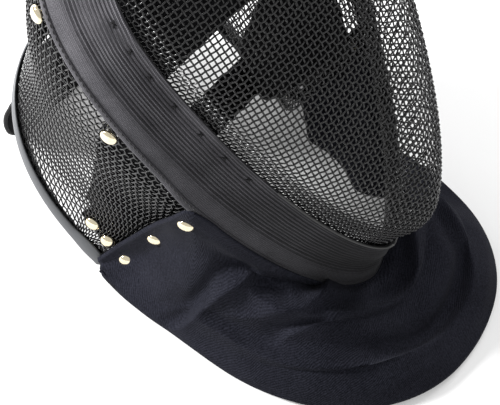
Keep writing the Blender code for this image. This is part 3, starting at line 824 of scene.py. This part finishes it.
def bib_half(sign):
    """Columns of one half of the bib, from its rear corner to the chin."""
    band_depth, band_tilt = OUTLINES[3, 1:3]
    front = np.array((TOP_EDGE_FRONT_UP, band_depth + band_tilt * TOP_EDGE_FRONT_UP - 1.0))
    columns = []
    for share in np.linspace(0.0, 1.0, SIDE_COLUMNS + 1):
        up, depth = TOP_EDGE_REAR + share * (front - TOP_EDGE_REAR)
        edge = cage_to_floor(wall_at(*locate(up, depth), BIB_OFFSET))
        drop = min(EDGE_OVERLAP, OVERLAP_MOST * edge[2]) * (
            OVERLAP_REAR + (1 - OVERLAP_REAR) * smooth_step(0.0, OVERLAP_FULL, share))
        overlap = [cage_to_floor(wall_at(*locate(up - s * drop, depth - s * share * drop),
                                         BIB_OFFSET) * (sign, 1.0, 1.0)) for s in OVERLAP_STEPS]
        side, forward = hem_side(share)
        columns.append(bib_column(overlap, (sign * side, forward), 0.0))
    turns = even_turns(locate(*front)[0], 2.0, FRONT_COLUMNS + 1, BIB_BACK_OF_BAND)
    for i, turn in enumerate(sign * np.minimum(turns, CHIN)[1:], 1):
        share = i / FRONT_COLUMNS
        here = wall_at(turn, BIB_BACK_OF_BAND, BIB_OFFSET)
        edge = cage_to_floor(here)
        hang = cage_to_floor(here - EDGE_OVERLAP * np.array((sign * HANG_INSET, 1.0, 1.0)))
        frontness = float(smooth_step(*FRONT_SHARES, share))
        end = frontness * (edge + (0.0, *CHIN_ROLL)) + (1 - frontness) * hang
        overlap = edge + OVERLAP_STEPS[:, None] * (end - edge)
        overlap[0] = cage_to_floor(wall_at(turn, BIB_UNDER_BAND, BIB_OFFSET))
        side, forward = hem_front(share, sign)
        columns.append(bib_column(overlap, (sign * side, forward), frontness))
    return columns


def denser(points, factor, axis):
    """Smooth points between the given ones along one axis."""
    moved = np.moveaxis(points, axis, 0)
    knots = np.arange(len(moved))
    at = np.linspace(0.0, knots[-1], factor * knots[-1] + 1)
    return np.moveaxis(smooth_curve(knots, moved, at), 0, axis)


def eased_down(points, reach):
    return eased(points.swapaxes(0, 1), reach).swapaxes(0, 1)


def closed_sheet(points, normals, thick):
    """Section loops of a sheet with rounded edges, down one face and up the other."""
    thick = thick[..., None]
    face, back = points + normals * thick / 2, points - normals * thick / 2
    first = points[:, :1] - EDGE_ROUND * thick[:, :1] * unit(points[:, 1:2] - points[:, :1])
    last = points[:, -1:] + EDGE_ROUND * thick[:, -1:] * unit(points[:, -1:] - points[:, -2:-1])
    return np.concatenate((face, last, back[:, ::-1], first), 1)


# Creases of the worn bib: depth, width and the fullness of the upper cloth along it, in
# millimetres, then places (column, row) on the bib, with the upper cloth on the left of
# the way along. Columns run from 0 at the near rear corner to 1 at the far one, rows
# from 0 at the top to 1 at the hem.
BIB_CREASES = {
    "side_diagonal": (6.0, 3.0, 3.2, ((0.165, 1.0), (0.18, 0.78), (0.195, 0.6), (0.22, 0.42),
        (0.25, 0.31), (0.28, 0.22), (0.31, 0.1))),
    "side_branch": (1.2, 3.0, 0.8, ((0.13, 0.88), (0.165, 0.65), (0.2, 0.5))),
    "below_webbing": (5.8, 2.8, 3.0, ((0.27, 0.32), (0.3, 0.36), (0.335, 0.38), (0.375, 0.33),
        (0.42, 0.18), (0.45, 0.06))),
    "low_branch": (2.8, 3.0, 1.6, ((0.23, 0.52), (0.28, 0.44), (0.31, 0.39), (0.34, 0.38))),
    "first_roll": (6.2, 3.0, 3.6, ((0.34, 0.4), (0.37, 0.42), (0.41, 0.42), (0.465, 0.43),
        (0.5, 0.45), (0.53, 0.44), (0.555, 0.38), (0.6, 0.31), (0.68, 0.26))),
    "roll_fork": (3.4, 2.8, 2.0, ((0.3, 0.66), (0.325, 0.58), (0.36, 0.52), (0.39, 0.44))),
    "second_roll": (6.0, 3.4, 4.2, ((0.2, 0.62), (0.23, 0.64), (0.26, 0.68), (0.29, 0.71),
        (0.33, 0.74), (0.375, 0.76), (0.42, 0.79), (0.46, 0.82), (0.5, 0.85), (0.54, 0.86),
        (0.57, 0.85), (0.595, 0.81), (0.62, 0.68), (0.66, 0.58), (0.74, 0.5))),
    "far_diagonal": (4.2, 3.0, 2.4, ((0.7, 0.14), (0.75, 0.3), (0.8, 0.55), (0.82, 0.8))),
}


def crease_field(column, row):
    """Rise of the cloth over its sheet, from its creases."""
    total = np.zeros_like(column)
    for depth, width, full, places in BIB_CREASES.values():
        line = denser(np.array(places), CREASE_STEPS, 0)
        way = np.gradient(line * (BIB_ACROSS, BIB_DOWN), axis=0)
        near = np.full_like(total, np.inf)
        which, side = np.zeros_like(total), np.zeros_like(total)
        for k, (c, r) in enumerate(line):
            right, below = (column - c) * BIB_ACROSS, (row - r) * BIB_DOWN
            apart = np.hypot(right, below)
            closer = apart < near
            near = np.where(closer, apart, near)
            which = np.where(closer, k, which)
            side = np.where(closer, way[k, 0] * below - way[k, 1] * right, side)
        away = near * np.sign(side) / width
        fade = np.sin(np.pi * np.clip((which + 1) / (len(line) + 1), 0.0, 1.0)) ** 0.5
        valley = np.exp(-np.abs(away * np.where(away < 0, *VALLEY_FALL)))
        brow = bell(away + BROW_PLACE, BROW_WIDTH)
        total += fade * (full * brow - depth * valley)
    return total


def dimples(column, row):
    """Slight unevenness of the padding."""
    return (0.35 * np.sin(41.0 * column + 3.0 * row) * np.sin(9.0 * row + 7.0 * column)
            + 0.22 * np.sin(83.0 * column - 6.0 * row) * np.cos(14.0 * row))


def inner(column):
    """Share of the bib's length from its nearer rear corner."""
    return 0.5 - np.abs(column - 0.5)


def tucked(points, column, row):
    """The sheet with its far side hanging in below the cage."""
    start = points[:, int(TUCK_ROW * (points.shape[1] - 1))][:, None]
    hem = points[:, -1:]
    way = np.clip((row - TUCK_ROW) / (1 - TUCK_ROW), 0.0, 1.0)
    out, inset, share, low = (np.interp(way, TUCK_LINE[:, 0], values)[..., None]
                              for values in TUCK_LINE[:, 1:].T)
    outward_way = unit((hem - start) * (1.0, 1.0, 0.0))
    hanging = start + out * (hem - start) - inset * outward_way
    hanging[..., 2:] = share * start[..., 2:] + low
    return blended(points, hanging,
                   plateau(column, *TUCK_COLUMNS) * smooth_step(TUCK_ROW, TUCK_ROW + 0.05, row))


def bib_sheet():
    """Middle of the bib before it is creased, and the column and row of each point."""
    near, far = bib_half(-1.0), bib_half(1.0)
    columns = near[:-1] + [(near[-1] + far[-1]) / 2] + far[-2::-1]
    points = denser(denser(np.array(columns), 8, 0), 6, 1)
    column, row = np.meshgrid(*(np.linspace(0.0, 1.0, n) for n in points.shape[:2]),
                              indexing="ij")
    points = blended(points, eased(points, EASE_ACROSS), plateau(row, *ACROSS_ROWS))
    corner = plateau(row, *CORNER_ROWS) * bell(inner(column) - BIB_CORNER[0], BIB_CORNER[1])
    for _ in range(2):
        points = blended(points, eased(points, EASE_CORNER), corner)
    side = 1 - DOWN_LESS * smooth_step(*DOWN_COLUMNS, inner(column))
    points = blended(points, eased_down(points, EASE_DOWN), plateau(row, *DOWN_ROWS) * side)
    points = tucked(points, column, row)
    points = blended(points, eased_down(points, EASE_HANG),
                     plateau(column, *TUCK_COLUMNS) * smooth_step(*HANG_ROWS, row))
    points[..., 2] = np.maximum(points[..., 2], HEM_THICK / 2)
    return points, column, row


def make_bib(material, yarn):
    points, column, row = bib_sheet()
    normals = -sheet_normals(points)
    creased = plateau(row, *CREASE_ROWS) * (1 - TUCK_SMOOTH * plateau(column, *TUCK_COLUMNS))
    under_band = (1 - smooth_step(*UNDER_ROWS, row)) * smooth_step(*UNDER_COLUMNS, inner(column))
    rise = crease_field(column, row) + dimples(column, row)
    points = points + normals * (rise * creased - BIB_SINK * under_band)[..., None]
    thick = BIB_THICK + (HEM_THICK - BIB_THICK) * smooth_step(*HEM_ROWS, row)
    thick = thick + (TOP_THICK - thick) * under_band
    bib = body("padded_bib", closed_sheet(points, normals, thick), place=floor_to_world)
    dress(bib, material, "bib_cloth", "bib")
    face = points + normals * thick[..., None] / 2
    seam = stitches("bib_stitches", face[:, STITCH_ROW], normals[:, STITCH_ROW], floor_to_world)
    dress(seam, yarn, "bib_cloth")


# -------- lining, strap
# depth, middle up, side up and half width of each hoop of the crown pad, front to rear
CROWN_HOOPS = np.array([
    (133.0, 119.0, 119.0, 78.0), (143.0, 140.0, 132.0, 76.0), (142.0, 178.0, 152.0, 71.0),
    (118.0, 200.0, 166.0, 70.0), (72.0, 177.0, 147.0, 73.0), (24.0, 156.0, 118.0, 71.0),
])
CROWN_PAD_THICK = 9.0
# depth, low up and high up of each line of a cheek pad, rear to front
CHEEK_LINES = np.array([
    (14.0, 20.0, 60.0), (52.0, 27.0, 82.0), (100.0, 40.0, 110.0), (130.0, 46.0, 117.0),
])
CHEEK_THICK = 7.0
CHEEK_OFFSET = 5.6
# forward, height and half width of each line of the tongue, from the crown down
TONGUE_LINES = np.array([
    (-74.0, 108.0, 40.0), (-84.0, 92.0, 44.0), (-89.0, 69.0, 39.0), (-98.0, 48.0, 55.0),
    (-103.0, 34.0, 60.0), (-105.0, 15.0, 58.0), (-105.5, 0.0, 46.0),
])
TONGUE_THICK = 9.0
TONGUE_LIFT = 1.5  # so that its binding stands on the floor
PAD_EDGE = 1.6  # thickness of a pad at its edge
QUILT_DEPTH = 0.35
QUILT_WIDTH = 0.09
BINDING_RADIUS = 1.5
STRAP_UP = 38.5
STRAP_WIDTH = 26.0
STRAP_THICK = 1.3
STRAP_RIB = 0.12
STRAP_END_DEPTH = 26.0
STRAP_BEND_DEPTH = 9.0
STRAP_BEND = 3.4
STRAP_OFFSET = 2.4


def make_pad(name, points, thick, channels, cloths, node, place=cage_to_world):
    """Padded piece over a sheet of points: crowned, quilted in channels and bound."""
    rows, columns = points.shape[:2]
    normals = sheet_normals(points)
    r = np.linspace(-1.0, 1.0, rows)[:, None]
    c = np.linspace(-1.0, 1.0, columns)
    plump = ((1 - r ** 6) * (1 - c ** 6)) ** 0.5
    quilt = 1 - QUILT_DEPTH * bell((c * channels) % 1.0 - 0.5, QUILT_WIDTH)
    half = (PAD_EDGE + (thick - PAD_EDGE) * plump * quilt)[..., None] / 2
    faces = np.stack((points + normals * half, points - normals * half))
    cloth = np.stack((lengths(points, 0), lengths(points, 1)), -1).reshape(-1, 2)
    size = rows * columns
    front = grid_faces(rows, columns)
    behind = [f[::-1] for f in grid_faces(rows, columns, first=size)]
    index = np.arange(size).reshape(rows, columns)
    border = np.concatenate((index[0, :-1], index[:-1, -1], index[-1, :0:-1], index[:0:-1, 0]))
    ahead = np.roll(border, -1)
    rim = np.stack((border, border + size, ahead + size, ahead), -1)
    pad = new_mesh(name, place(faces).reshape(-1, 3), front + behind + rim.tolist(),
                   np.tile(cloth, (2, 1)))
    dress(pad, cloths[0], "pad_cloth", node)
    edge = points.reshape(-1, 3)[border], normals.reshape(-1, 3)[border]
    cord = tubes(name + "_binding", [edge], BINDING_RADIUS, 8, ring=True, place=place)
    dress(cord, cloths[1], "pad_cloth")


def make_crown_pad(cloths):
    shares = np.linspace(-1.0, 1.0, 49)
    depth, middle, side, half_width = denser(CROWN_HOOPS, 8, 0).T[..., None]
    points = np.stack(np.broadcast_arrays(half_width * shares,
                                          middle + (side - middle) * shares ** 2, depth), -1)
    make_pad("crown_lining", points, CROWN_PAD_THICK, 2.5, cloths, "crown_pad")


def make_cheek_pads(cloths):
    middle = -(CHEEK_OFFSET + CHEEK_THICK / 2)
    points = np.array([[wall_at(*locate(low + s * (high - low), depth), middle)
                        for s in np.linspace(0.0, 1.0, 21)]
                       for depth, low, high in denser(CHEEK_LINES, 10, 0)])
    for side, sign in SIDES:
        make_pad("cheek_lining_" + side, points * (sign, 1.0, 1.0), CHEEK_THICK, 1.0, cloths,
                 "cheek_pad_" + side)


def make_tongue(cloths):
    shares = np.linspace(-1.0, 1.0, 33)
    forward, height, half_width = denser(TONGUE_LINES, 6, 0).T[..., None]
    points = np.stack(np.broadcast_arrays(half_width * shares, forward,
                                          height + TONGUE_LIFT), -1)
    make_pad("rear_tongue", points, TONGUE_THICK, 1.5, cloths, "tongue", floor_to_world)


def strap_end(up, sign):
    path = [wall_at(*locate(up, depth), -STRAP_OFFSET) * (sign, 1.0, 1.0)
            for depth in np.linspace(STRAP_END_DEPTH, STRAP_BEND_DEPTH, 6)]
    turn = np.radians(np.linspace(15.0, 90.0, 6))[:, None]
    bend = np.concatenate((-sign * (1 - np.cos(turn)), 0 * turn, -np.sin(turn)), 1)
    return np.array(path + list(path[-1] + STRAP_BEND * bend))


def make_strap(material):
    """Elastic across the rear opening, with edge ribs."""
    lines = []
    for share in np.linspace(-0.5, 0.5, 13):
        up = STRAP_UP + share * STRAP_WIDTH
        near, far = strap_end(up, -1.0), strap_end(up, 1.0)
        across = np.linspace(0.0, 1.0, 26)[1:-1, None]
        lines.append(np.concatenate((near, near[-1] + across * (far[-1] - near[-1]), far[::-1])))
    points = np.stack(lines, 1)
    ribs = STRAP_RIB * np.cos(np.linspace(0.0, 8 * math.pi, 13))
    thick = np.tile(STRAP_THICK + ribs, (len(points), 1))
    sheet = closed_sheet(points, sheet_normals(points), thick)
    dress(body("elastic_strap", sheet), material, "elastic", "back_strap")


# -------- rivets
# name, up, depth, and heights of the head's seat and of the shank's end over the wall
RIVETS = (
    ("bib_front",   46.0, 113.0, 6.0, -1.6),
    ("bib_middle",  30.0,  57.5, 6.0, -1.6),
    ("bib_rear",    17.0,  17.5, 6.0, -1.6),
    ("strap_upper", 46.5,  14.5, 1.2, -3.4),
    ("strap_lower", 31.5,  14.0, 1.2, -3.4),
    ("cheek",      114.0, 125.0, 1.2, -1.6),
    ("crown",      187.0, 136.0, 1.2, -1.6),
)
HEAD_RADIUS = 5.0
HEAD_RISE = 2.7
DOME_ANGLES = np.radians((2.0, 12.0, 24.0, 36.0, 48.0, 60.0, 72.0, 82.0, 90.0))
# radius, and height over the seat, of the rows under a head's dome
HEAD_ROWS = ((4.8, -0.5), (4.0, -0.6), (1.5, -0.6))
SHANK_RADIUS = 1.5
# radius, and height from the shank's end, of the rows of a washer and the peened end in it
WASHER_ROWS = ((1.6, 0.0), (4.4, 0.0), (4.5, -0.4), (4.1, -0.8), (2.4, -0.9), (2.1, -1.8),
               (1.2, -2.0), (0.4, -1.7))


def turned(name, profile, centre, axis):
    """Turned piece: profile rows are radius and height along the axis."""
    first = unit(np.cross(axis, (0.0, 1.0, 0.2)))
    angles = full_turn(36)
    ring = np.cos(angles) * first + np.sin(angles) * np.cross(axis, first)
    points = np.array([centre + radius * ring + height * axis for radius, height in profile])
    return body(name, points)


def make_rivets(brass, steel):
    dome = [(HEAD_RADIUS * math.sin(a), HEAD_RISE * math.cos(a)) for a in DOME_ANGLES]
    for (side, sign), (kind, up, depth, seat, end) in product(SIDES, RIVETS):
        name = kind + "_" + side
        turn, along = locate(up, depth)
        centre, axis = (sign, 1.0, 1.0) * np.array((wall(turn, along), outward(turn, along)))
        head = [(r, seat + h) for r, h in (*dome, *HEAD_ROWS)] + [(SHANK_RADIUS, end)]
        dress(turned("head_" + name, head, centre, axis), brass, "brass", "rivet_" + name)
        washer = [(r, end + h) for r, h in WASHER_ROWS]
        dress(turned("washer_" + name, washer, centre, axis), steel, "brass")


# -------- the picture
CAMERA_PLACE = (-0.3571, -0.2388, 0.6759)
CAMERA_TURN = (35.049, 0.0, -51.018)
CAMERA_LENS = 90.44
CAMERA_SHIFT = (0.1177, -0.0966)
# place, size in metres and power in watts of each light
LIGHTS = {"key": ((-0.85, 1.3, 0.9), 0.3, 54.0), "rear": ((0.1, 1.1, 0.5), 0.6, 6.0),
          "fill": ((1.3, 0.1, 0.8), 0.6, 12.0)}
WHITE = (1.0, 1.0, 1.0, 1.0)
SKY_STRENGTH = 0.6
EXPOSURE = 0.18
FLOOR_REACH = 30.0
FLOOR_HEIGHT = -0.0002


def make_camera():
    data = bpy.data.cameras.new("camera")
    data.lens = CAMERA_LENS
    data.shift_x, data.shift_y = CAMERA_SHIFT
    camera = add_object("camera", data)
    camera.location = CAMERA_PLACE
    camera.rotation_euler = [math.radians(a) for a in CAMERA_TURN]
    bpy.context.scene.camera = camera


def make_lights():
    for name, (place, size, power) in LIGHTS.items():
        data = bpy.data.lights.new(name, "AREA")
        data.shape = "DISK"
        data.size = size
        data.energy = power
        light = add_object(name, data)
        light.location = place
        light.rotation_euler = (-Vector(place)).to_track_quat("-Z", "Y").to_euler()


def make_studio():
    corners = [(x, y, FLOOR_HEIGHT) for y, x in product((-FLOOR_REACH, FLOOR_REACH), repeat=2)]
    floor = new_mesh("floor", corners, grid_faces(2, 2))
    floor.data.materials.append(new_material("pale_floor", (0.7, 0.7, 0.7), 0.9,
                                             Emission_Color=WHITE, Emission_Strength=0.17))
    world = bpy.data.worlds.new("studio")
    world.use_nodes = True
    sky = world.node_tree.nodes["Background"]
    sky.inputs["Color"].default_value = WHITE
    sky.inputs["Strength"].default_value = SKY_STRENGTH
    scene = bpy.context.scene
    scene.world = world
    scene.view_settings.view_transform = "Standard"
    scene.view_settings.exposure = EXPOSURE


def build():
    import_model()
    make_camera()
    make_studio()
    make_lights()
    paint = grained("wire_paint", (0.005, 0.005, 0.006), 0.18, (2500.0, 0.0001, 0.4),
                    (900.0, 3.0, 0.13, 0.25), ((0.35, (0.003, 0.003, 0.0035)),
                                               (0.75, (0.009, 0.009, 0.010))),
                    Specular_IOR_Level=0.6)
    vinyl = grained("trim_vinyl", (0.085, 0.088, 0.094), 0.5, (420.0, 0.0002, 0.25),
                    (70.0, 3.0, 0.4, 0.6), Coat_Weight=0.1, Coat_Roughness=0.3)
    brass = grained("pale_brass", (0.74, 0.62, 0.40), 0.14, (500.0, 0.0002, 0.15),
                    (900.0, 4.0, 0.04, 0.16), ((0.3, (0.80, 0.68, 0.44)),
                                               (0.7, (0.94, 0.87, 0.68))), Metallic=1.0)
    steel = grained("washer_steel", (0.62, 0.62, 0.62), 0.3, (900.0, 0.0002, 0.2),
                    Metallic=1.0)
    webbing = band_webbing()
    twill = bib_twill("bib_twill", (0.0048, 0.0051, 0.0079), (0.0215, 0.0222, 0.0315))
    lining = bib_twill("lining_cloth", (0.004, 0.004, 0.0045), (0.014, 0.014, 0.016))
    dark_thread = thread("dark_thread", (0.008, 0.008, 0.009))
    make_side_wires(paint)
    make_face_wires(paint)
    make_band(webbing)
    make_tape(webbing, thread("pale_thread", (0.05, 0.05, 0.05)))
    make_piping(thread("edging", (0.07, 0.07, 0.07)))
    make_lacing(dark_thread)
    make_trim(vinyl)
    make_bib(twill, dark_thread)
    for make_padding in (make_crown_pad, make_cheek_pads, make_tongue):
        make_padding((lining, dark_thread))
    make_strap(lining)
    make_rivets(brass, steel)


build()
